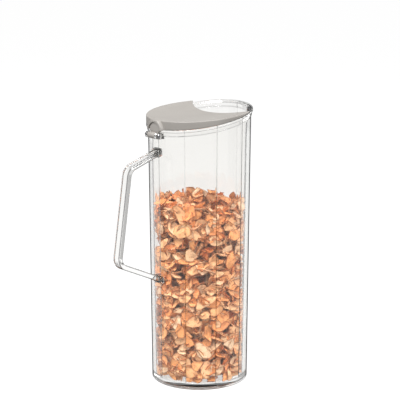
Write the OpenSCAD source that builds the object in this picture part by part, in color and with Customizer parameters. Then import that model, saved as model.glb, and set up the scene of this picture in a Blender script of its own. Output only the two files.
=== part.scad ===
// Cereal dispenser: a tall clear jug with a slanted rim, a bent strip handle and a
// wedge lid that is hinged above the handle. A crescent is cut out of the lid's far
// end, and the open part of the rim is the pouring mouth.
// Frame: origin at the centre of the base on the table, +Z up, +X to the pouring
// side, -X to the handle and hinge. The part is symmetric about the XZ plane.

/* [Jug] */
// Rim height on the jug's axis
rim_z = 265; // [200:1:320]
// Outer wall radius at the reference height
top_r = 50; // [40:0.5:60]
// Reference height of the outer wall radius
top_z = 250; // [180:1:300]
// Outer wall radius at the table
base_r = 47.5; // [38:0.5:58]
// Wall thickness at the corners of the faceted bore
wall = 3; // [2:0.1:5]
// Number of facets round the bore
facets = 10; // [6:1:12]
// Radius of each facet's gentle curve
facet_r = 52; // [50:1:200]
// Thickness of the floor
floor_t = 5; // [3:0.5:10]
// Radius of the shallow recess under the floor
recess_r = 38; // [20:1:44]
// Depth of the shallow recess under the floor
recess_t = 1.2; // [0.5:0.1:3]
// Rounding at the foot of the wall
foot_round = 1.5; // [0.5:0.1:3]

/* [Rim] */
// Slope of the rim plane, rising to the pouring side, in degrees
rim_slope = 10; // [5:0.5:20]
// Radius of the lip
lip_r = 51.8; // [51:0.1:56]
// Thickness of the lip
lip_t = 2.4; // [1.5:0.1:4]
// Radius of the low bead under the lip
bead_r = 50.8; // [50.2:0.1:52]
// Height of the bead under the lip
bead_t = 4; // [2:0.5:8]

/* [Lid] */
// Slope of the lid's top, in degrees
lid_slope = 4.9; // [0:0.1:10]
// Height of the lid's top above the rim on the axis
lid_rise = 4.3; // [3:0.1:10]
// Thickness of the lid's top and skirt
lid_wall = 2; // [1.5:0.1:3]
// Rounding of the lid's top edge
lid_round = 1.1; // [0.5:0.1:1.8]
// Depth of the shallow dish in the lid's top
dish_t = 3; // [1:0.1:4]
// Gap between the skirt and the rim
lid_gap = 0.3; // [0.2:0.05:1]
// Radius of the crescent cut
mouth_r = 67; // [55:1:90]
// Distance of the crescent's centre from the jug's axis
mouth_x = 76; // [70:1:90]

/* [Hinge] */
// Distance of the pin from the jug's axis
pin_x = 55.7; // [54:0.1:60]
// Height of the pin
pin_z = 250.5; // [240:0.5:260]
// Radius of the pin
pin_r = 1.5; // [1:0.1:2.5]
// Radial running clearance of the knuckle on the pin
pin_clear = 0.06; // [0.02:0.01:0.1]
// Radius of the knuckle and of the lugs' round ends
knuckle_r = 3; // [2.5:0.1:4]
// Width of the knuckle
knuckle_w = 12.2; // [8:0.1:16]
// Gap between the knuckle and each lug
side_gap = 0.3; // [0.2:0.05:0.6]
// Thickness of each lug
lug_w = 2.6; // [2:0.1:5]
// Radius of a pin cap
cap_r = 2.3; // [2:0.1:4]
// Thickness of a pin cap
cap_t = 1.4; // [1:0.1:3]
// Radius of a pin cap's domed face
cap_dome = 4.6; // [4:0.1:8]
// Outer radius of the arched housing on the skirt
arch_r = 11.5; // [9:0.1:15]
// Height of the arch's centre
arch_z = 254.5; // [250:0.5:260]
// Distance of the housing's face from the jug's axis
arch_x = 55.2; // [53:0.1:58]
// Radius of the leaf that sits in the arch
leaf_r = 8; // [6:0.1:10]
// Distance of the leaf's face from the jug's axis
leaf_x = 54.4; // [53:0.1:56]
// Groove round the leaf
groove = 0.4; // [0.2:0.1:1]
// Gap between the foot of the leaf's tongue and the lugs
tongue_gap = 0.7; // [0.4:0.1:2]
// Distance of the bracket's bar from the jug's axis
bar_x = 51.3; // [50.6:0.1:51.4]
// How far the bracket's top lies below the knuckle's
bracket_drop = 0.8; // [0.4:0.1:2]

/* [Handle] */
// Thickness of the strip
strip_t = 5; // [3:0.5:8]
// Width of the strip
strip_w = 10.5; // [6:0.5:16]
// Bend radius of the strip's centre line
bend_r = 10; // [6:0.5:20]
// Height where the upper arm meets the wall
upper_z = 234; // [200:1:245]
// Slope of the upper arm below level, in degrees
upper_slope = 20.4; // [0:0.2:40]
// Corner of the upper arm and the grip, distance from the axis
upper_x = 85.7; // [70:0.5:110]
// Corner of the grip and the lower arm, distance from the axis
lower_x = 98.7; // [70:0.5:120]
// Corner of the grip and the lower arm, height
lower_z = 130; // [90:1:160]
// Slope of the lower arm below level towards the wall, in degrees
lower_slope = 24.3; // [0:0.2:40]
// Margin of a socket round the strip
socket_margin = 1; // [0.5:0.1:3]
// Rounding of a socket's corners
socket_round = 1.6; // [0.5:0.1:3]
// How far a socket stands out from the wall
socket_l = 4; // [2:0.5:8]

/* [Hidden] */
$fn = 96;
CLEAR = [0.86, 0.89, 0.9, 0.35];
TAUPE = [0.72, 0.69, 0.66];
LEAF = [0.76, 0.73, 0.69];
STEEL = [0.75, 0.76, 0.78];

// Helper sizes: blocks and tools that reach well past what they cut
far = 400;              // larger than the jug in every direction
over_z = 290;           // a height above the whole jug
neck_z = 220;           // a height below the lip, the bead and the hinge
skirt_z = 240;          // a height below the lid and its housing
housing_root = 3;       // how far the housing and the leaf start inside the skirt
tilt_spare = 0.25;      // keeps the side of the lid's tilted top outside the skirt
press = 0.02;           // radial play of the pin where it is held fast
leaf_play = 0.35;       // gap between the leaf and the lip
pin_hold = 0.7;         // share of a cap's thickness that the pin reaches into

taper = (top_r - base_r) / top_z;                  // outer wall, radius per height
lid_z = rim_z + lid_rise;                          // lid's top plane on the axis
dish_r = (lip_r * lip_r + dish_t * dish_t) / (2 * dish_t);
lug_in = knuckle_w / 2 + side_gap;
lug_out = lug_in + lug_w;
pin_half = lug_out + cap_t * pin_hold;             // half the pin's length
tongue_z = pin_z + knuckle_r + tongue_gap;         // foot of the leaf's tongue
upper_corner_z = upper_z - (upper_x - wall_r(upper_z)) * tan(upper_slope);
// Headings in the XZ plane, anticlockwise from +X, going from the upper end to the lower
upper_a = 180 + upper_slope;
grip_a = 360 + atan2(lower_z - upper_corner_z, upper_x - lower_x);
lower_a = 360 - lower_slope;
arm_in = 40;   // distance from the axis at which the arms' centre lines end

function wall_r(z) = base_r + taper * z;
function ahead(p, a, d) = [p[0] + d * cos(a), p[1] + d * sin(a)];

// Everything below a plane that crosses the axis at height z and rises to +X
module below(z, slope) {
  translate([0, 0, z]) rotate([0, -slope, 0]) translate([-far / 2, -far / 2, -far]) cube(far);
}

// Everything above height z
module above(z) {
  translate([-far / 2, -far / 2, z]) cube(far);
}

// The slanted layer between two distances under the rim
module under_rim(top, bottom) {
  difference() {
    below(rim_z - top, rim_slope);
    below(rim_z - bottom, rim_slope);
  }
}

// A round bar about the jug's axis, from height z upwards
module upright(z, r) {
  translate([0, 0, z]) cylinder(h = over_z - z, r = r);
}

// A round bar along the hinge's axis, centred on the XZ plane
module on_hinge(r, w) {
  translate([-pin_x, w / 2, pin_z]) rotate([90, 0, 0]) cylinder(h = w, r = r);
}

// The jug's tapered wall as a full cone, to trim what is fixed to its outside
module jug_cone() {
  cylinder(h = over_z, r1 = wall_r(0), r2 = wall_r(over_z));
}

// ---- Jug ----
module jug_outside() {
  r0 = wall_r(foot_round);
  rotate_extrude() union() {
    polygon([[0, 0], [r0 - foot_round, 0], [r0 - foot_round, foot_round], [r0, foot_round],
             [wall_r(over_z), over_z], [0, over_z]]);
    intersection() {
      translate([r0 - foot_round, foot_round]) circle(foot_round);
      square([r0 + 1, foot_round]);
    }
  }
}

// The faceted bore. Each facet is a shallow curve that leans out with the wall
module bore() {
  corner = base_r - wall;
  rise = facet_r - sqrt(pow(facet_r, 2) - pow(corner * sin(180 / facets), 2));
  middle = corner * cos(180 / facets) + rise;
  intersection() {
    above(floor_t);
    intersection_for (i = [0 : facets - 1])
      rotate([0, 0, (i + 0.5) * 360 / facets])
        translate([middle - facet_r, 0, 0]) rotate([0, atan(taper), 0])
          translate([0, 0, -far / 2]) cylinder(h = 2 * far, r = facet_r);
  }
}

module body() {
  color(CLEAR) difference() {
    union() {
      intersection() {
        jug_outside();
        below(rim_z, rim_slope);
      }
      intersection() {
        upright(neck_z, lip_r);
        under_rim(0, lip_t);
      }
      intersection() {
        upright(neck_z, bead_r);
        under_rim(lip_t / 2, lip_t + bead_t);
      }
    }
    bore();
    translate([0, 0, -recess_t]) cylinder(h = 2 * recess_t, r = recess_r);
  }
}

// ---- Handle ----
// Both arms run on inside the wall and are trimmed to it
UPPER = [-upper_x, upper_corner_z];
LOWER = [-lower_x, lower_z];
turn_u = grip_a - upper_a;
turn_l = lower_a - grip_a;
cut_u = bend_r * tan(turn_u / 2);
cut_l = bend_r * tan(turn_l / 2);
arm_u = (upper_x - arm_in) / cos(upper_slope) - cut_u;
arm_l = (lower_x - arm_in) / cos(lower_slope) - cut_l;
tangents = [ahead(UPPER, upper_a, -cut_u - arm_u), ahead(UPPER, upper_a, -cut_u),
            ahead(UPPER, grip_a, cut_u), ahead(LOWER, grip_a, -cut_l),
            ahead(LOWER, lower_a, cut_l), ahead(LOWER, lower_a, cut_l + arm_l)];
headings = [upper_a, upper_a, grip_a, grip_a, lower_a, lower_a];
bends = [ahead(tangents[1], upper_a + 90, bend_r), ahead(tangents[3], grip_a + 90, bend_r)];

// The region inside the strip's side that lies out by d from its centre line
module inside_line(d) {
  polygon([for (i = [0 : 5]) ahead(tangents[i], headings[i] - 90, d)]);
  for (c = bends) translate(c) circle(bend_r + d);
}

module handle() {
  color(CLEAR) difference() {
    rotate([90, 0, 0]) translate([0, 0, -strip_w / 2]) linear_extrude(strip_w)
      difference() {
        inside_line(strip_t / 2);
        inside_line(-strip_t / 2);
      }
    jug_cone();
  }
}

module socket_section() {
  t = strip_t + 2 * socket_margin;
  w = strip_w + 2 * socket_margin;
  square([t - 2 * socket_round, w], center = true);
  square([t, w - 2 * socket_round], center = true);
  for (x = [-1, 1], y = [-1, 1])
    translate([x * (t / 2 - socket_round), y * (w / 2 - socket_round)]) circle(socket_round, $fn = 32);
}

// A straight length l that runs from p along heading a in the XZ plane
module straight(p, a, l) {
  translate([p[0], 0, p[1]]) rotate([0, 90 - a, 0]) linear_extrude(l) children();
}

// A socket is a collar round the end of an arm, trimmed to the wall
module socket(p, a, l, z) {
  color(CLEAR) difference() {
    intersection() {
      straight(p, a, l) socket_section();
      cylinder(h = over_z, r = wall_r(z) + socket_l);
    }
    straight(p, a, l) square([strip_t, strip_w], center = true);
    jug_cone();
  }
}

module handle_socket_upper() {
  socket(tangents[0], upper_a, arm_u, upper_z);
}

module handle_socket_lower() {
  socket(tangents[4], lower_a, arm_l, lower_z - (lower_x - base_r) * tan(lower_slope));
}

// ---- Lid ----
// The arched housing's outline, seen along X, pushed through from x0 to x1
module arch(r, x0, x1, low) {
  translate([x0, 0, arch_z]) rotate([0, 90, 0]) cylinder(h = x1 - x0, r = r);
  translate([x0, -r, low]) cube([x1 - x0, 2 * r, arch_z - low]);
}

// A disc with a rounded top edge whose top lies in the lid's top plane
module rounded_top() {
  r = lip_r + tilt_spare;
  translate([0, 0, lid_z]) rotate([0, -lid_slope, 0]) rotate_extrude() union() {
    polygon([[0, 0], [r - lid_round, 0], [r - lid_round, -lid_round], [r, -lid_round],
             [r, -lip_r], [0, -lip_r]]);
    translate([r - lid_round, -lid_round]) circle(lid_round, $fn = 48);
  }
}

// The ball that presses the shallow dish into the lid's top, grown by d
module dish_ball(d = 0) {
  translate([0, 0, lid_z - dish_t]) rotate([0, -lid_slope, 0])
    translate([0, 0, dish_r]) sphere(dish_r + d, $fn = 200);
}

module lid() {
  color(TAUPE) difference() {
    union() {
      intersection() {
        upright(skirt_z, lip_r);
        rounded_top();
      }
      intersection() {
        arch(arch_r, -arch_x, -lip_r + housing_root, skirt_z);
        below(lid_z, lid_slope);
      }
    }
    // the seat on the rim
    below(rim_z + lid_gap, rim_slope);
    dish_ball();
    // the hollow under the top
    difference() {
      intersection() {
        upright(skirt_z, lip_r - lid_wall);
        below(lid_z - lid_wall, lid_slope);
      }
      dish_ball(lid_wall);
    }
    // the pocket of the hinge leaf
    difference() {
      arch(leaf_r + groove, -arch_x - 1, -lip_r + housing_root, skirt_z);
      upright(neck_z, lip_r);
    }
    // the pouring mouth
    translate([mouth_x, 0, 0]) upright(skirt_z, mouth_r);
  }
}

// ---- Hinge ----
module hinge_leaf() {
  color(LEAF) difference() {
    union() {
      intersection() {
        arch(leaf_r, -leaf_x, -lip_r + housing_root, tongue_z);
        above(tongue_z);
      }
      translate([-leaf_x, -knuckle_w / 2, pin_z]) cube([housing_root, knuckle_w, tongue_z + 1 - pin_z]);
      on_hinge(knuckle_r, knuckle_w);
    }
    upright(neck_z, lip_r);
    difference() {
      upright(neck_z, lip_r + leaf_play);
      above(rim_z - lip_r * tan(rim_slope) + lid_gap);
    }
    on_hinge(pin_r + pin_clear, 2 * pin_half);
  }
}

module lug() {
  h = 2 * knuckle_r - bracket_drop;
  translate([-pin_x, lug_out, pin_z]) rotate([90, 0, 0]) cylinder(h = lug_w, r = knuckle_r);
  translate([-pin_x, lug_in, pin_z - knuckle_r]) cube([pin_x - top_r + wall, lug_w, h]);
}

// Two lugs on a bar that is moulded onto the wall under the bead
module hinge_bracket() {
  h = 2 * knuckle_r - bracket_drop;
  color(CLEAR) difference() {
    union() {
      lug();
      mirror([0, 1, 0]) lug();
      translate([-bar_x, -lug_out, pin_z - knuckle_r]) cube([wall, 2 * lug_out, h]);
    }
    jug_cone();
    intersection() {
      upright(neck_z, bead_r);
      under_rim(0, lip_t + bead_t);
    }
    on_hinge(pin_r + press, 2 * pin_half);
  }
}

module hinge_pin() {
  color(STEEL) on_hinge(pin_r, 2 * pin_half);
}

// A cap with a domed face, pressed onto one end of the pin
module pin_cap() {
  outer_y = lug_out + cap_t;
  color(STEEL) difference() {
    intersection() {
      translate([-pin_x, outer_y, pin_z]) rotate([90, 0, 0]) cylinder(h = cap_t, r = cap_r);
      translate([-pin_x, outer_y - cap_dome, pin_z]) sphere(cap_dome);
    }
    on_hinge(pin_r + press, 2 * pin_half);
  }
}

module pin_cap_left() { pin_cap(); }

module pin_cap_right() { mirror([0, 1, 0]) pin_cap(); }

body();
handle();
handle_socket_upper();
handle_socket_lower();
hinge_bracket();
lid();
hinge_leaf();
hinge_pin();
pin_cap_left();
pin_cap_right();
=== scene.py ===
"""A clear cereal jug with a hinged wedge lid, filled with corn flakes, on a pale floor."""

import math

import bmesh
import bpy
import numpy as np
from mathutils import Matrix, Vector


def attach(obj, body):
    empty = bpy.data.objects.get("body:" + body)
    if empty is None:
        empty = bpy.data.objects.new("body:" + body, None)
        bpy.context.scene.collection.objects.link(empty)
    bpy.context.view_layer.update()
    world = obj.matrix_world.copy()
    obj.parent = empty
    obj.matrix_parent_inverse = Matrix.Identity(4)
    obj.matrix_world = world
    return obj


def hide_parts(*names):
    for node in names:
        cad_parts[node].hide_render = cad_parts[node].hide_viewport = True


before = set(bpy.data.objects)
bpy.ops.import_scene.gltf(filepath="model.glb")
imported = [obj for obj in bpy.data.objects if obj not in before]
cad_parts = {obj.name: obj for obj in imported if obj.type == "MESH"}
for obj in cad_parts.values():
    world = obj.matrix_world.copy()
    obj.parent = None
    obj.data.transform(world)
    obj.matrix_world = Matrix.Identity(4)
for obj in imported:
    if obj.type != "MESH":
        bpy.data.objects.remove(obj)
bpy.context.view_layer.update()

MM = 0.001

# ---- Design sizes, in millimetres, as in the CAD model ----
RIM_Z, RIM_SLOPE = 265.0, math.tan(math.radians(10))
LIP_R, LIP_T, BEAD_R, BEAD_T = 51.8, 2.4, 50.8, 4.0
BASE_R, TAPER = 47.5, 2.5 / 250
WALL, FLOOR_T, FACETS, FACET_R = 3.0, 5.0, 10, 52.0
RECESS_R, RECESS_T, FOOT_ROUND = 38.0, 1.2, 1.5
LID_Z, LID_SLOPE = 269.3, math.tan(math.radians(4.9))
LID_WALL, LID_GAP, LID_ROUND, DISH_T = 2.0, 0.3, 1.1, 3.0
MOUTH_R, MOUTH_X = 67.0, 76.0
ARCH_R, ARCH_Z, ARCH_X = 11.5, 254.5, 55.2
LEAF_R, LEAF_X, GROOVE = 8.0, 54.4, 0.4
PIN_X, PIN_Z, KNUCKLE_R, KNUCKLE_W = 55.7, 250.5, 3.0, 12.2
STRIP_T, STRIP_W, STRIP_ROUND, BEND_R = 5.0, 10.5, 1.2, 10.0
UPPER_ARM, UPPER_CORNER_X = (234.0, 20.4), 85.7
LOWER_CORNER, LOWER_SLOPE = (-98.7, 130.0), 24.3

# ---- Fine detail of the visual model, in millimetres unless said ----
RIM_ROUND, LIP_ROUND, LIP_FOOT_ROUND, CORNER_ROUND = 0.6, 0.7, 0.5, 2.5
CREST_GROOVE = 0.45
CREST_HALF_WIDTH = 0.02                     # radians
WALL_ROWS, BEND_STEPS = 12, 14              # steps along each wall, and round each bend
CORNER_PAINTED_SHADE = 0.65                         # painted shade along the strip's rounded corners, 0 to 1
SKIN = 0.1                                  # how far the handle's ends stay off the wall
FILL_Z = 178.0                              # height of the heap of flakes
FLAKE_SIZES = (5.6, 9.6)                    # half the length of a flake
FLAKE_HALF_T, FLAKE_GAP = 0.42, 0.35
BED_R, NEAR_WALL_R, NEAR_WALL_DEPTH = 45, 26, 16
SHIFT_SHARE = 0.8                           # of a flake's overlap with the wall, taken up by a shift
SPOKES, RINGS = 12, 2                       # of each flake's mesh
ANY_PHASE = 6.3                             # radians, a little over a full turn


def wall_r(z):
    """Outer wall radius at height z."""
    return BASE_R + TAPER * z


def facet_centre(z):
    """How far beyond the axis the centre of each curved facet lies at height z."""
    half = math.pi / FACETS
    corner = BASE_R - WALL
    rise = FACET_R - math.sqrt(FACET_R ** 2 - (corner * math.sin(half)) ** 2)
    return FACET_R - corner * math.cos(half) - rise - TAPER * z


def rim_at(x):
    return RIM_Z + RIM_SLOPE * x


def lid_at(x):
    return LID_Z + LID_SLOPE * x


# ---- Mesh helpers ----
def new_object(name, points, faces, smooth_angle=None):
    """A mesh object from points in millimetres."""
    mesh = bpy.data.meshes.new(name)
    mesh.from_pydata([tuple(c * MM for c in p) for p in points], [], faces)
    obj = bpy.data.objects.new(name, mesh)
    bpy.context.collection.objects.link(obj)
    tidy(mesh)
    shade(mesh, smooth_angle)
    return obj


def tidy(mesh):
    """Welds doubled points and turns every face outwards."""
    bm = bmesh.new()
    bm.from_mesh(mesh)
    bmesh.ops.remove_doubles(bm, verts=bm.verts, dist=1e-6)
    bmesh.ops.recalc_face_normals(bm, faces=bm.faces)
    bm.to_mesh(mesh)
    bm.free()


def shade(mesh, smooth_angle=None):
    mesh.shade_smooth()
    if smooth_angle is not None:
        mesh.set_sharp_from_angle(angle=math.radians(smooth_angle))


def loft(name, loops, ring=False, smooth_angle=None):
    """Joins loops of equal length by quads and closes both ends. A ring's last loop joins its first."""
    count = len(loops[0])
    points = [p for loop in loops for p in loop]
    faces = []
    rows = len(loops) if ring else len(loops) - 1
    for i in range(rows):
        a = i * count
        b = (i + 1) % len(loops) * count
        for j in range(count):
            k = (j + 1) % count
            faces.append((a + j, a + k, b + k, b + j))
    if not ring:
        faces.append(tuple(range(count)))
        faces.append(tuple(range(len(points) - count, len(points))))
    return new_object(name, points, faces, smooth_angle)


def boolean(target, tool, operation):
    """Applies an exact boolean to target and removes the tool."""
    mod = target.modifiers.new("cut", "BOOLEAN")
    mod.operation = operation
    mod.solver = "EXACT"
    mod.object = tool
    apply_modifiers(target)
    bpy.data.objects.remove(tool)


def apply_modifiers(obj):
    bpy.context.view_layer.update()
    graph = bpy.context.evaluated_depsgraph_get()
    mesh = bpy.data.meshes.new_from_object(obj.evaluated_get(graph))
    old = obj.data
    obj.modifiers.clear()
    obj.data = mesh
    bpy.data.meshes.remove(old)


def quarter(steps):
    """Angles from 0 to 90 degrees."""
    return [math.pi / 2 * i / steps for i in range(steps + 1)]


def circle(r, steps):
    """Points (x, y) of a circle about the origin."""
    return [(r * math.cos(a), r * math.sin(a)) for a in (2 * math.pi * i / steps for i in range(steps))]


# ---- Jug ----
def bore_radius(angle, z):
    """Radius of the bore at height z. A fine groove runs up each crest between two facets."""
    pitch = 2 * math.pi / FACETS
    off = abs((angle + pitch / 2) % pitch - pitch / 2)          # from the nearest crest
    turn = pitch / 2 - off
    centre = facet_centre(z)
    facet = math.sqrt(FACET_R ** 2 - (centre * math.sin(turn)) ** 2) - centre * math.cos(turn)
    return facet + CREST_GROOVE * max(0.0, 1 - off / CREST_HALF_WIDTH)


def jug_angles():
    """Angles round the jug, crowded at the crests between the bore's facets."""
    steps = [0, 0.25, 0.7, 1.1, 1.3, 2.8, 4.6, 6.8, 9, 11.2, 13.4, 15.6, 18]
    pitch = 360 / FACETS
    local = steps + [pitch - s for s in reversed(steps[1:-1])]
    return [math.radians(k * pitch + s) for k in range(FACETS) for s in local]


def rows_between(start, end):
    """Heights of the rows along a wall."""
    return [start + (end - start) * i / WALL_ROWS for i in range(WALL_ROWS + 1)]


def slanted(points, cos):
    """Turns (radius, drop below the rim's plane) into (radius, height)."""
    return [(r, rim_at(r * cos) - drop) for r, drop in points]


def underside_section():
    """The recess in the underside, and the flat ring that the jug stands on."""
    return [(8, RECESS_T), (24, RECESS_T), (RECESS_R - 1, RECESS_T), (RECESS_R - 0.4, RECESS_T),
            (RECESS_R - 0.1, RECESS_T - 0.1), (RECESS_R + 0.2, RECESS_T - 0.5),
            (RECESS_R + 0.5, 0.1), (RECESS_R + 0.9, 0), (RECESS_R + 1.4, 0), (44.5, 0)]


def outer_section(cos):
    """The rounded foot and the outer wall, up to just under the bead."""
    foot = wall_r(FOOT_ROUND) - FOOT_ROUND
    points = [(foot + FOOT_ROUND * math.sin(t), FOOT_ROUND * (1 - math.cos(t))) for t in quarter(6)]
    points.append((wall_r(2.2), 2.2))
    bead_low = rim_at(BEAD_R * cos) - LIP_T - BEAD_T
    return points + [(wall_r(z), z) for z in rows_between(6, bead_low - 1.2)]


def lip_section(cos):
    """The bead, and the lip above it with both its edges rounded."""
    wall = wall_r(rim_at(BEAD_R * cos) - LIP_T - BEAD_T)
    low = LIP_T + BEAD_T
    points = [(wall, low + 0.5), (wall + 0.15, low), (BEAD_R - 0.15, low - 0.5), (BEAD_R, low - 1),
              (BEAD_R, LIP_T + 0.5), (BEAD_R + 0.1, LIP_T + 0.15), (BEAD_R + 0.4, LIP_T)]
    for t in quarter(4):
        points.append((LIP_R - LIP_FOOT_ROUND * (1 - math.sin(t)),
                       LIP_T - LIP_FOOT_ROUND * (1 - math.cos(t))))
    for t in quarter(5):
        points.append((LIP_R + LIP_ROUND * (math.cos(t) - 1), LIP_ROUND * (1 - math.sin(t))))
    points.append((LIP_R - 1.1, 0))
    return slanted(points, cos)


def inner_section(angle, cos):
    """The rim's rounded inner edge, the bore, its rounded corner and the floor."""
    rim = bore_radius(angle, RIM_Z)
    edge = [(rim + 1.0, 0)]
    for t in quarter(5):
        edge.append((rim + RIM_ROUND * (1 - math.sin(t)), RIM_ROUND * (1 - math.cos(t))))
    wall = [(bore_radius(angle, z), z) for z in rows_between(rim_at(rim * cos) - 1.2, FLOOR_T + 3.4)]
    corner = bore_radius(angle, FLOOR_T + CORNER_ROUND)
    fillet = [(corner + CORNER_ROUND * (math.cos(t) - 1), FLOOR_T + CORNER_ROUND * (1 - math.sin(t)))
              for t in quarter(6)]
    floor = [(r, FLOOR_T) for r in (corner - 3.2, 26, 8)]
    return slanted(edge, cos) + wall + fillet + floor


def jug_section(angle):
    """The jug's section at one angle, from the centre of its underside round to its floor."""
    cos = math.cos(angle)
    return underside_section() + outer_section(cos) + lip_section(cos) + inner_section(angle, cos)


def make_jug():
    angles = jug_angles()
    sections = [jug_section(a) for a in angles]
    rows = len(sections[0])
    loops = [[(s[i][0] * math.cos(a), s[i][0] * math.sin(a), s[i][1]) for s, a in zip(sections, angles)]
             for i in range(rows)]
    return loft("jug_shell", loops)


# ---- Handle ----
def ahead(p, heading, d):
    """The point d further along a heading in the XZ plane."""
    return (p[0] + d * math.cos(heading), p[1] + d * math.sin(heading))


def bend(begin, a, b):
    """Stations round a bend that turns from heading a to heading b."""
    centre = ahead(begin, a + math.pi / 2, BEND_R)
    headings = [a + (b - a) * i / BEND_STEPS for i in range(BEND_STEPS + 1)]
    return [(ahead(centre, h - math.pi / 2, BEND_R), h) for h in headings]


def handle_line():
    """Stations (point, heading) of the strip's centre line in the XZ plane, wall to wall."""
    z0, slope = UPPER_ARM
    up_a, low_a = math.radians(180 + slope), math.radians(360 - LOWER_SLOPE)
    start = (-wall_r(z0), z0)
    reach = (UPPER_CORNER_X - wall_r(z0)) / math.cos(math.radians(slope))
    upper, lower = ahead(start, up_a, reach), LOWER_CORNER
    grip_a = math.atan2(lower[1] - upper[1], lower[0] - upper[0]) + 2 * math.pi
    cut_upper = BEND_R * math.tan((grip_a - up_a) / 2)
    cut_lower = BEND_R * math.tan((low_a - grip_a) / 2)
    grip = ahead(upper, grip_a, cut_upper)
    length = math.dist(grip, lower)
    end_reach = (-lower[0] - BASE_R - 1) / math.cos(math.radians(LOWER_SLOPE))
    end = ahead(lower, low_a, end_reach)

    stations = [(start, up_a), (ahead(start, up_a, 3), up_a), (ahead(start, up_a, reach / 2), up_a)]
    stations += bend(ahead(upper, up_a, -cut_upper), up_a, grip_a)
    stations += [(ahead(grip, grip_a, length * share), grip_a) for share in (0.225, 0.45, 0.675)]
    stations += bend(ahead(lower, grip_a, -cut_lower), grip_a, low_a)
    stations += [(ahead(end, low_a, -end_reach / 2), low_a), (ahead(end, low_a, -3), low_a), (end, low_a)]
    return stations


def rounded_rectangle(t, w, r, steps=5):
    """Points (across the strip's thickness, along its width)."""
    out = []
    for sx, sy, start in ((1, 1, 0), (-1, 1, 90), (-1, -1, 180), (1, -1, 270)):
        for i in range(steps + 1):
            a = math.radians(start + 90 * i / steps)
            out.append((sx * (t / 2 - r) + r * math.cos(a), sy * (w / 2 - r) + r * math.sin(a)))
    return out


def at_wall(p, heading, gap):
    """p moved along heading in the XZ plane until it lies gap outside the wall."""
    x, y, z = p
    for _ in range(30):
        miss = math.hypot(x, y) - wall_r(z) - gap
        x, z = ahead((x, z), heading, miss / math.cos(heading))
    return (x, y, z)


def section_at(station, outline):
    """The strip's outline set square to its centre line at one station."""
    (px, pz), h = station
    nx, nz = math.cos(h - math.pi / 2), math.sin(h - math.pi / 2)
    return [(px + u * nx, y, pz + u * nz) for u, y in outline]


def strip_painted_shade(point):
    """Painted shade on the strip at a point: full at the glued ends, and along the rounded corners."""
    if math.hypot(point.x, point.y) < wall_r(point.z) + 1:
        return 1.0
    across = (abs(point.y) - STRIP_W / 2 + STRIP_ROUND) / STRIP_ROUND
    across = min(1.0, max(0.0, across))
    return CORNER_PAINTED_SHADE * 2 * across * math.sqrt(1 - across * across)


def make_handle():
    outline = rounded_rectangle(STRIP_T, STRIP_W, STRIP_ROUND)
    line = handle_line()
    loops = [section_at(s, outline) for s in line]
    loops[0] = [at_wall(p, line[0][1] + math.pi, SKIN) for p in loops[0]]
    loops[-1] = [at_wall(p, line[-1][1], SKIN) for p in loops[-1]]
    strip = loft("handle_strip", loops, smooth_angle=50)
    # Painted shade, stored per point so the clear material darkens the strip's corners and ends
    painted_shade = strip.data.attributes.new("painted_shade", "FLOAT", "POINT")
    painted_shade.data.foreach_set("value", [strip_painted_shade(v.co / MM) for v in strip.data.vertices])
    return strip


def make_socket(name, station, heading_in):
    """A collar that stands out from the wall round one end of the strip."""
    (px, pz), h = station
    outer = rounded_rectangle(STRIP_T + 2, STRIP_W + 2, 1.6)
    inner = rounded_rectangle(STRIP_T + 0.2, STRIP_W + 0.2, STRIP_ROUND)
    rim = rounded_rectangle(STRIP_T + 1.2, STRIP_W + 1.2, 1.3)
    away = ahead((px, pz), heading_in + math.pi, 6)

    def ring(outline, out):
        return [at_wall(p, heading_in, out) for p in section_at((away, h), outline)]

    loops = [ring(outer, SKIN), ring(outer, 2), ring(outer, 3.2), ring(rim, 3.9), ring(inner, 3.7),
             ring(inner, SKIN)]
    return loft(name, loops, ring=True, smooth_angle=50)


# ---- Lid ----
HOUSING_LOW, CAVITY_LOW = 240, 245          # heights well below the lid, where its cuts begin


def crescent(inset, outer_steps=150, mouth_steps=60):
    """The lid's outline in plan, inset all round: the back arc, then the mouth arc."""
    r, m = LIP_R - inset, MOUTH_R + inset
    x = (r * r - m * m + MOUTH_X ** 2) / (2 * MOUTH_X)
    horn = math.acos(x / r)
    spread = math.acos((MOUTH_X - x) / m)
    points = []
    for i in range(outer_steps):
        a = horn + (2 * math.pi - 2 * horn) * i / outer_steps
        points.append((r * math.cos(a), r * math.sin(a)))
    for i in range(mouth_steps):
        a = math.pi + spread - 2 * spread * i / mouth_steps
        points.append((MOUTH_X + m * math.cos(a), m * math.sin(a)))
    return points


def slanted_box(name, height, size=240, low=150):
    """A big box whose top is the plane that height(x) gives."""
    s = size / 2
    corners = [(-s, -s), (s, -s), (s, s), (-s, s)]
    return loft(name, [[(x, y, low) for x, y in corners], [(x, y, height(x)) for x, y in corners]])


def arch_outline(r, low, steps=40):
    """A round-topped arch in the YZ plane, as (y, z)."""
    points = [(r * math.cos(math.pi * i / steps), ARCH_Z + r * math.sin(math.pi * i / steps))
              for i in range(steps + 1)]
    return points + [(-r, low), (r, low)]


def arch_prism(name, r, x_face, x_back, low, edge):
    """An arch that is pushed through along X, with a rounded edge on its face."""
    loops = [[(x_back, y, z) for y, z in arch_outline(r, low)]]
    for t in quarter(5):
        inset = edge * (1 - math.cos(t))
        x = x_face + edge * (1 - math.sin(t))
        loops.append([(x, y, z) for y, z in arch_outline(r - inset, low)])
    return loft(name, loops)


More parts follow.
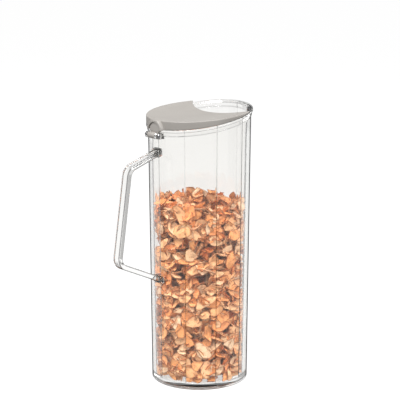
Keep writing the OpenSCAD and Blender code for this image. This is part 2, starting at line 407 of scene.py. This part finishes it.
def dish_ball(name, grow=0.0, rings=40, spokes=120):
    """The low cap of the ball that presses the shallow dish into the lid's top."""
    radius = (LIP_R ** 2 + DISH_T ** 2) / (2 * DISH_T)
    loops = []
    for i in range(1, rings + 1):
        lean = math.asin(LIP_R * 1.3 / radius) * i / rings
        drop = DISH_T + grow - (radius + grow) * (1 - math.cos(lean))
        ring = circle((radius + grow) * math.sin(lean), spokes)
        loops.append([(x, y, lid_at(x) - drop) for x, y in ring])
    loops.append([(x, y, z + 20) for x, y, z in loops[-1]])
    return loft(name, loops)


def lid_plate():
    """The wedge between the rim's plane and the lid's sloping top, with a rounded upper edge."""
    loops = [[(x, y, rim_at(x) + LID_GAP) for x, y in crescent(0.3)],
             [(x, y, rim_at(x) + LID_GAP + 0.3) for x, y in crescent(0)]]
    for t in quarter(6):
        drop = LID_ROUND * (1 - math.sin(t))
        loops.append([(x, y, lid_at(x) - drop) for x, y in crescent(LID_ROUND * (1 - math.cos(t)))])
    loops.append([(x, y, lid_at(x)) for x, y in crescent(LID_ROUND + 0.4)])
    return loft("lid_shell", loops)


def hinge_housing():
    """The arch that stands out from the lid's back, over the hinge tongue."""
    boss = arch_prism("boss", ARCH_R, -ARCH_X, -LIP_R + 3, HOUSING_LOW, 1.4)
    boolean(boss, slanted_box("keep", lambda x: lid_at(x) - 0.15), "INTERSECT")
    boolean(boss, slanted_box("seat", lambda x: rim_at(x) + LID_GAP), "DIFFERENCE")
    return boss


def lid_cavity():
    """The lid's hollow, an even wall below its dished top."""
    ring = circle(LIP_R - LID_WALL, 180)
    cavity = loft("cavity", [[(x, y, CAVITY_LOW) for x, y in ring],
                             [(x, y, lid_at(x) - LID_WALL) for x, y in ring]])
    boolean(cavity, dish_ball("dish_below", LID_WALL), "DIFFERENCE")
    return cavity


def make_lid():
    lid = lid_plate()
    boolean(lid, dish_ball("dish"), "DIFFERENCE")
    boolean(lid, hinge_housing(), "UNION")
    boolean(lid, lid_cavity(), "DIFFERENCE")
    pocket = arch_prism("pocket", LEAF_R + GROOVE, -ARCH_X - 2, -LIP_R + 0.1, HOUSING_LOW, 0.01)
    boolean(lid, pocket, "DIFFERENCE")
    tidy(lid.data)
    shade(lid.data, 30)
    return lid


def knuckle():
    """The round barrel that turns on the hinge pin, with small chamfers at its ends."""
    half = KNUCKLE_W / 2
    loops = []
    for y, r in ((-half, KNUCKLE_R - 0.4), (-half + 0.12, KNUCKLE_R - 0.12), (-half + 0.4, KNUCKLE_R),
                 (half - 0.4, KNUCKLE_R), (half - 0.12, KNUCKLE_R - 0.12), (half, KNUCKLE_R - 0.4)):
        loops.append([(-PIN_X + u, y, PIN_Z + v) for u, v in circle(r, 48)])
    return loft("knuckle", loops)


def make_leaf():
    """The hinge tongue: an arch in the housing's pocket, a neck, and the knuckle below."""
    low = PIN_Z + KNUCKLE_R + 0.7
    leaf = arch_prism("hinge_tongue", LEAF_R, -LEAF_X, -LIP_R - 0.05, low, 0.8)
    outer_x, inner_x, side = -LEAF_X + 0.15, -LIP_R - 0.3, KNUCKLE_W / 2 - 0.1
    corners = ((outer_x, -side), (inner_x, -side), (inner_x, side), (outer_x, side))
    neck = loft("neck", [[(x, y, z) for x, y in corners] for z in (PIN_Z, low + 1)])
    boolean(leaf, neck, "UNION")
    boolean(leaf, knuckle(), "UNION")
    tidy(leaf.data)
    shade(leaf.data, 35)
    return leaf


# ---- Corn flakes ----
def flake_patch(rng):
    """One curled flake with a ragged outline: its top points, then its bottom points."""
    size = rng.uniform(*FLAKE_SIZES)
    stretch = rng.uniform(0.45, 0.85)
    angles = np.arange(SPOKES) * 2 * np.pi / SPOKES + rng.uniform(-0.12, 0.12, SPOKES)
    lobes = 1 + 0.14 * np.sin(2 * angles + rng.uniform(0, ANY_PHASE))
    lobes += 0.12 * np.sin(3 * angles + rng.uniform(0, ANY_PHASE))
    lobes += rng.uniform(-0.2, 0.2, SPOKES)
    rows = [np.zeros((1, 2))]
    for k in range(1, RINGS + 1):
        share = k / RINGS
        r = size * share * (1 + (lobes - 1) * share)
        rows.append(np.stack([r * np.cos(angles), r * stretch * np.sin(angles)], 1))
    xy = np.concatenate(rows)
    curl, fold, twist = rng.uniform(-0.03, 0.045), rng.uniform(-0.05, 0.05), rng.uniform(-0.03, 0.03)
    z = curl * xy[:, 0] ** 2 + fold * xy[:, 1] ** 2 + twist * xy[:, 0] * xy[:, 1]
    z += rng.uniform(-0.5, 0.5, len(xy))
    top = np.column_stack([xy, z + FLAKE_HALF_T])
    bottom = np.column_stack([xy * 0.97, z - FLAKE_HALF_T])
    return np.concatenate([top, bottom])


def flake_faces():
    """Faces of one flake, shared by all of them: its top, its bottom and the band between."""
    n = 1 + RINGS * SPOKES
    ring = [(i, (i + 1) % SPOKES) for i in range(SPOKES)]
    top = [(0, 1 + i, 1 + j) for i, j in ring]
    for k in range(RINGS - 1):
        start = 1 + k * SPOKES
        top += [(start + i, start + i + SPOKES, start + j + SPOKES, start + j) for i, j in ring]
    edge = 1 + (RINGS - 1) * SPOKES
    side = [(edge + i, edge + i + n, edge + j + n, edge + j) for i, j in ring]
    return top + [tuple(v + n for v in reversed(f)) for f in top] + side


def flake_rim():
    """How near each point of a flake lies to its edge: 0 in the middle, 1 at the rim."""
    side = [0.0] + [k / RINGS for k in range(1, RINGS + 1) for _ in range(SPOKES)]
    return side + side


def rotation_to(normal, spin):
    """Axes of a frame whose Z is normal, spun about it."""
    helper = np.array([0, 0, 1.0]) if abs(normal[2]) < 0.9 else np.array([1.0, 0, 0])
    u = np.cross(helper, normal)
    u /= np.linalg.norm(u)
    v = np.cross(normal, u)
    c, s = math.cos(spin), math.sin(spin)
    return np.stack([c * u + s * v, c * v - s * u, normal])


def keep_inside(points):
    """Presses points back from the bore's facets and the floor."""
    points[:, 2] = np.maximum(points[:, 2], FLOOR_T + FLAKE_GAP)
    for k in range(FACETS):
        a = math.radians((k + 0.5) * 360 / FACETS)
        out = np.array([math.cos(a), math.sin(a)])
        centre = -out * facet_centre(points[:, 2:])
        arm = points[:, :2] - centre
        reach = np.linalg.norm(arm, axis=1)
        scale = np.where(arm @ out > 0, np.minimum(1, (FACET_R - FLAKE_GAP) / reach), 1)
        points[:, :2] = centre + arm * scale[:, None]
    return points


def heap_height(x, y):
    """Height of the heap's surface: a low mound with a few dips."""
    bumps = 2.2 * math.sin(x * 0.11 + 1.3) * math.cos(y * 0.09 + 0.4) + 1.6 * math.sin(0.07 * x - 0.13 * y)
    return FILL_Z + 4.5 - 0.0016 * (x * x + y * y) + bumps


def flake_place(rng, z_low, z_high):
    """A place in the bed, likelier near the wall and never above the heap's surface."""
    angle = rng.uniform(0, 2 * math.pi)
    r = BED_R * (rng.uniform() ** 0.28)
    x, y = r * math.cos(angle), r * math.sin(angle)
    z = rng.uniform(z_low, z_high)
    if z > heap_height(x, y) - 2:
        z = heap_height(x, y) - rng.uniform(0, 5)
    return np.array([x, y, z])


def flake_normal(rng, place):
    """A flake's direction. At the wall, half of the flakes lie flat to it and half show their edge."""
    r = math.hypot(place[0], place[1])
    near_wall = min(1.0, max(0.0, (r - NEAR_WALL_R) / NEAR_WALL_DEPTH))
    flatness = rng.uniform(1.2, 2.6) if rng.uniform() < 0.5 else rng.uniform(0, 0.5)
    outwards = np.array([place[0], place[1], 0]) / r * flatness * near_wall
    upright = np.array([0, 0, rng.choice([-1, 1]) * rng.uniform(0.1, 0.9)])
    normal = outwards + upright + rng.normal(0, 0.42, 3)
    return normal / np.linalg.norm(normal)


def settle(patch, top):
    """Lowers a flake that stands above top, and shifts it whole off the wall before it is pressed."""
    patch[:, 2] -= max(0.0, patch[:, 2].max() - top)
    push = keep_inside(patch.copy()) - patch
    patch += SHIFT_SHARE * push[np.linalg.norm(push, axis=1).argmax()]
    return keep_inside(patch)


def point_values(mesh, name, values):
    """Stores one number for each point of a mesh, for its material to read."""
    made = mesh.attributes.new(name, "FLOAT", "POINT")
    made.data.foreach_set("value", values.astype(np.float32))


def make_flakes(name, seed, z_low, z_high, count):
    """A bed of flakes between two heights, denser at the wall where it is seen."""
    rng = np.random.default_rng(seed)
    points, tones = [], []
    for _ in range(count):
        place = flake_place(rng, z_low, z_high)
        normal = flake_normal(rng, place)
        patch = flake_patch(rng) @ rotation_to(normal, rng.uniform(0, ANY_PHASE)) + place
        points.append(settle(patch, heap_height(place[0], place[1]) + 5))
        tones.append(rng.uniform())
    per = len(points[0])
    faces = [tuple(v + i * per for v in f) for i in range(count) for f in flake_faces()]
    mesh = bpy.data.meshes.new(name)
    mesh.from_pydata((np.concatenate(points) * MM).tolist(), [], faces)
    point_values(mesh, "tone", np.repeat(tones, per))
    point_values(mesh, "rim", np.tile(flake_rim(), count))
    shade(mesh, 38)
    obj = bpy.data.objects.new(name, mesh)
    bpy.context.collection.objects.link(obj)
    return obj


# ---- Materials ----
MIX_SHARE, MIX_A, MIX_B, MIX_RESULT = 0, 6, 7, 2          # a Mix node's sockets for colours
WHITE = (1, 1, 1, 1)


class Shader:
    """A small helper that makes and joins nodes of one material."""

    def __init__(self, name):
        self.material = bpy.data.materials.new(name)
        self.material.use_nodes = True
        self.tree = self.material.node_tree
        self.tree.nodes.clear()
        self.output = self.node("ShaderNodeOutputMaterial")
        self.bsdf = self.node("ShaderNodeBsdfPrincipled")
        self.join(self.bsdf.outputs[0], self.output.inputs["Surface"])

    def node(self, kind, **values):
        made = self.tree.nodes.new(kind)
        for key, value in values.items():
            if key in made.inputs:
                made.inputs[key].default_value = value
            else:
                setattr(made, key, value)
        return made

    def join(self, out, into):
        self.tree.links.new(out, into)

    def set(self, **values):
        for key, value in values.items():
            self.bsdf.inputs[key.replace("_", " ")].default_value = value

    def noise(self, scale, detail=3.0):
        """Noise over the object's own coordinates; scale is in cycles per metre."""
        coords = self.node("ShaderNodeTexCoord")
        made = self.node("ShaderNodeTexNoise", Scale=scale, Detail=detail)
        self.join(coords.outputs["Object"], made.inputs["Vector"])
        return made.outputs["Fac"]

    def ramp(self, factor, stops):
        made = self.node("ShaderNodeValToRGB")
        elements = made.color_ramp.elements
        while len(elements) < len(stops):
            elements.new(0.5)
        for element, (position, colour) in zip(elements, stops):
            element.position = position
            element.color = (*colour, 1)
        self.join(factor, made.inputs["Fac"])
        return made.outputs["Color"]

    def span(self, factor, low, high, start=0.0, end=1.0):
        """factor from start..end to low..high."""
        made = self.node("ShaderNodeMapRange")
        made.inputs["From Min"].default_value = start
        made.inputs["From Max"].default_value = end
        made.inputs["To Min"].default_value = low
        made.inputs["To Max"].default_value = high
        self.join(factor, made.inputs["Value"])
        return made.outputs["Result"]

    def multiply(self, first, second, share):
        """Colour first, multiplied by colour second as far as share says."""
        made = self.node("ShaderNodeMix", data_type="RGBA", blend_type="MULTIPLY")
        made.inputs[MIX_SHARE].default_value = share
        self.join(first, made.inputs[MIX_A])
        self.join(second, made.inputs[MIX_B])
        return made.outputs[MIX_RESULT]

    def math(self, operation, first, second):
        made = self.node("ShaderNodeMath", operation=operation)
        self.join(first, made.inputs[0])
        self.join(second, made.inputs[1])
        return made.outputs[0]

    def attribute(self, name):
        """The number that the mesh stores for each point, or 0 where it stores none."""
        return self.node("ShaderNodeAttribute", attribute_name=name).outputs["Fac"]

    def mix(self, factor, first, second):
        """The shader first where factor is 0, second where it is 1."""
        made = self.node("ShaderNodeMixShader")
        self.join(factor, made.inputs["Fac"])
        self.join(first, made.inputs[1])
        self.join(second, made.inputs[2])
        return made.outputs[0]

    def bump(self, height, strength, distance):
        made = self.node("ShaderNodeBump", Strength=strength, Distance=distance)
        self.join(height, made.inputs["Height"])
        self.join(made.outputs["Normal"], self.bsdf.inputs["Normal"])


def clear_plastic():
    """Polished, slightly warm plastic, with painted shade: dark where a wall turns edge-on, and on the
    handle strip where its point attribute asks for painted shade.
    """
    s = Shader("clear_plastic")
    s.set(Base_Color=(0.94, 0.935, 0.92, 1), Transmission_Weight=1.0, IOR=1.5)
    s.join(s.span(s.noise(60), 0.0, 0.02), s.bsdf.inputs["Roughness"])
    s.bump(s.noise(45, 2.0), 0.02, 0.0004)
    # Painted shade: a near-black diffuse is mixed in where the wall turns edge-on and where the strip's
    # attribute asks, drawing dark outlines at edges and corners
    slant = s.node("ShaderNodeLayerWeight", Blend=0.5)
    dark = s.node("ShaderNodeBsdfDiffuse", Color=(0.06, 0.06, 0.06, 1))
    edge_on = s.span(slant.outputs["Facing"], 0, 0.95, 0.78, 0.84)
    painted_shade_share = s.math("MAXIMUM", edge_on, s.span(s.attribute("painted_shade"), 0, 0.8))
    turned = s.mix(painted_shade_share, s.bsdf.outputs[0], dark.outputs[0])
    path = s.node("ShaderNodeLightPath")
    lamp = s.node("ShaderNodeBsdfTransparent", Color=(0.93, 0.93, 0.92, 1))
    s.join(s.mix(path.outputs["Is Shadow Ray"], turned, lamp.outputs[0]), s.output.inputs["Surface"])
    return s.material


def moulded_plastic(name, dark, light, roughness):
    """Satin moulded plastic with a fine spark-eroded grain and slight tone drift."""
    s = Shader(name)
    s.join(s.ramp(s.noise(25, 2.0), [(0.3, dark), (0.7, light)]), s.bsdf.inputs["Base Color"])
    s.join(s.span(s.noise(900), roughness - 0.05, roughness + 0.07), s.bsdf.inputs["Roughness"])
    s.bump(s.noise(3500, 2.0), 0.06, 0.00008)
    return s.material


def polished_steel():
    s = Shader("pin_steel")
    s.set(Metallic=1.0)
    s.join(s.ramp(s.noise(500), [(0.2, (0.30, 0.30, 0.31)), (0.8, (0.45, 0.45, 0.46))]),
           s.bsdf.inputs["Base Color"])
    s.join(s.span(s.noise(1500), 0.1, 0.24), s.bsdf.inputs["Roughness"])
    return s.material


def corn_flake():
    """Toasted flakes: each has its own tone, with toasted spots, pale blisters and a darker rim."""
    s = Shader("corn_flake")
    base = s.ramp(s.attribute("tone"), [(0.0, (0.78, 0.27, 0.08)), (0.3, (0.88, 0.39, 0.14)),
                                        (0.7, (0.90, 0.51, 0.26)), (1.0, (0.86, 0.60, 0.39))])
    spots = s.ramp(s.noise(230, 4.0), [(0.32, (0.5, 0.34, 0.24)), (0.5, (1, 1, 1)),
                                       (0.75, (1.1, 1.12, 1.1))])
    rim = s.ramp(s.attribute("rim"), [(0.86, (1, 1, 1)), (0.98, (0.5, 0.34, 0.24))])
    spotted = s.multiply(base, spots, 0.75)
    s.join(s.multiply(spotted, rim, 1.0), s.bsdf.inputs["Base Color"])
    s.join(s.span(s.noise(600), 0.45, 0.75), s.bsdf.inputs["Roughness"])
    s.bump(s.noise(420, 3.0), 0.4, 0.0006)
    return s.material


def matt_glow(name, grey):
    """A matt surface without gloss whose light the caller sets."""
    s = Shader(name)
    s.set(Base_Color=(grey, grey, grey, 1), Roughness=0.9, Specular_IOR_Level=0.0, Emission_Color=WHITE)
    return s


def floor_material():
    """White acrylic that glows like a light table, less for light that has bounced off something."""
    s = matt_glow("floor", 0.14)
    path = s.node("ShaderNodeLightPath")
    mirrored = s.math("SUBTRACT", path.outputs["Is Glossy Ray"], path.outputs["Is Transmission Ray"])
    bounced = s.math("MAXIMUM", path.outputs["Is Diffuse Ray"], mirrored)
    s.join(s.span(bounced, 0.93, 0.22), s.bsdf.inputs["Emission Strength"])
    return s.material


def card_material():
    s = matt_glow("grey_card", 0.02)
    s.set(Emission_Strength=0.5)
    return s.material


def paint(obj, material):
    obj.data.materials.clear()
    obj.data.materials.append(material)


# ---- Stage ----
AZIMUTH = math.radians(-37.65)
BACK = Vector((math.sin(AZIMUTH), -math.cos(AZIMUTH), 0))
RIGHT = Vector((math.cos(AZIMUTH), math.sin(AZIMUTH), 0))
UP = Vector((0, 0, 1))


def make_floor(reach=9000, thickness=20):
    square = [(-reach, -reach), (reach, -reach), (reach, reach), (-reach, reach)]
    floor = loft("floor", [[(x, y, z) for x, y in square] for z in (-thickness, 0)])
    floor.data.shade_flat()
    paint(floor, floor_material())


def make_card(side=-0.42, near=0.08, far=-0.16, low=0.001, high=0.3, thickness=0.004):
    """A grey card left of the set. Only the clear pieces show it, as a grey band on the handle's side."""
    foot = [BACK * near + RIGHT * side, BACK * far + RIGHT * side]
    out = RIGHT * thickness
    corners = [foot[0], foot[1], foot[1] - out, foot[0] - out]
    card = loft("grey_card", [[(c.x / MM, c.y / MM, z / MM) for c in corners] for z in (low, high)])
    paint(card, card_material())
    card.visible_camera = False
    card.visible_diffuse = False
    card.visible_shadow = False


def make_world(through=0.75, felt=0.42):
    """A white room. It is dimmer through clear plastic, and dimmest in reflections and as a light."""
    world = bpy.data.worlds.new("studio")
    bpy.context.scene.world = world
    world.use_nodes = True
    nodes, links = world.node_tree.nodes, world.node_tree.links
    path = nodes.new("ShaderNodeLightPath")
    strength = nodes.new("ShaderNodeMapRange")
    strength.inputs["To Min"].default_value = felt
    strength.inputs["To Max"].default_value = through
    brightest = nodes.new("ShaderNodeMath")
    brightest.operation = "MAXIMUM"
    links.new(path.outputs["Is Transmission Ray"], strength.inputs["Value"])
    links.new(path.outputs["Is Camera Ray"], brightest.inputs[0])
    links.new(strength.outputs["Result"], brightest.inputs[1])
    links.new(brightest.outputs[0], nodes["Background"].inputs["Strength"])
    nodes["Background"].inputs["Color"].default_value = WHITE


def area_light(name, azimuth, elevation, distance, size, power):
    """A soft box aimed at the jug's middle. Azimuth is as for the camera: at 0 it shines along +Y."""
    light = bpy.data.lights.new(name, "AREA")
    light.shape = "RECTANGLE"
    light.size, light.size_y = size
    light.energy = power
    obj = bpy.data.objects.new(name, light)
    bpy.context.collection.objects.link(obj)
    a, e = math.radians(azimuth), math.radians(elevation)
    back = Vector((math.sin(a) * math.cos(e), -math.cos(a) * math.cos(e), math.sin(e)))
    obj.location = UP * 0.14 + back * distance
    obj.rotation_mode = "QUATERNION"
    obj.rotation_quaternion = back.to_track_quat("Z", "Y")


def make_camera(distance=1.345, height=0.4741, aside=0.0005):
    """The photograph's viewpoint: a long lens, looking down a little at the handle's side."""
    pitch = math.radians(12.33)
    data = bpy.data.cameras.new("camera")
    data.sensor_width = 36
    data.lens = 126
    camera = bpy.data.objects.new("camera", data)
    bpy.context.collection.objects.link(camera)
    camera.location = BACK * distance + RIGHT * aside + UP * height
    look = BACK * math.cos(pitch) + UP * math.sin(pitch)
    camera.rotation_mode = "QUATERNION"
    camera.rotation_quaternion = look.to_track_quat("Z", "Y")
    bpy.context.scene.camera = camera


# ---- Build ----
clear = clear_plastic()
taupe = moulded_plastic("lid_plastic", (0.305, 0.285, 0.263), (0.34, 0.32, 0.296), 0.42)
pale = moulded_plastic("tongue_plastic", (0.34, 0.317, 0.294), (0.38, 0.357, 0.333), 0.4)
steel = polished_steel()
flake = corn_flake()

jug = make_jug()
handle = make_handle()
stations = handle_line()
sockets = [make_socket("socket_upper", stations[0], stations[0][1] + math.pi),
           make_socket("socket_lower", stations[-1], stations[-1][1])]
for obj, nodes in ((jug, ["body"]), (handle, ["handle"]), (sockets[0], ["handle_socket_upper"]),
                   (sockets[1], ["handle_socket_lower"])):
    paint(obj, clear)
    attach(obj, "jug")
    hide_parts(*nodes)

lid = make_lid()
leaf = make_leaf()
for obj, node, material, slot in ((lid, "lid", taupe, "taupe_plastic"),
                                  (leaf, "hinge_leaf", pale, "pale_plastic")):
    paint(obj, material)
    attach(obj, "lid")
    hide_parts(node)

for node, material in (("hinge_bracket", clear), ("hinge_pin", steel), ("pin_cap_left", steel),
                       ("pin_cap_right", steel)):
    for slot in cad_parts[node].material_slots:
        slot.material = material

for name, seed, z_low, z_high, count in (("corn_flakes_lower", 11, 6, 92, 1000),
                                         ("corn_flakes_upper", 23, 88, 182, 1100)):
    bed = make_flakes(name, seed, z_low, z_high, count)
    paint(bed, flake)
    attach(bed, "jug")

make_camera()
make_floor()
make_world()
make_card()
area_light("key", -85, 55, 1.5, (0.7, 0.7), 20)
area_light("fill", 15, 35, 1.7, (0.6, 1.0), 14.5)
area_light("top", -40, 84, 1.4, (0.8, 0.8), 5.5)
area_light("back", 90, 20, 1.6, (0.8, 0.8), 6)
bpy.context.scene.view_settings.view_transform = "Standard"
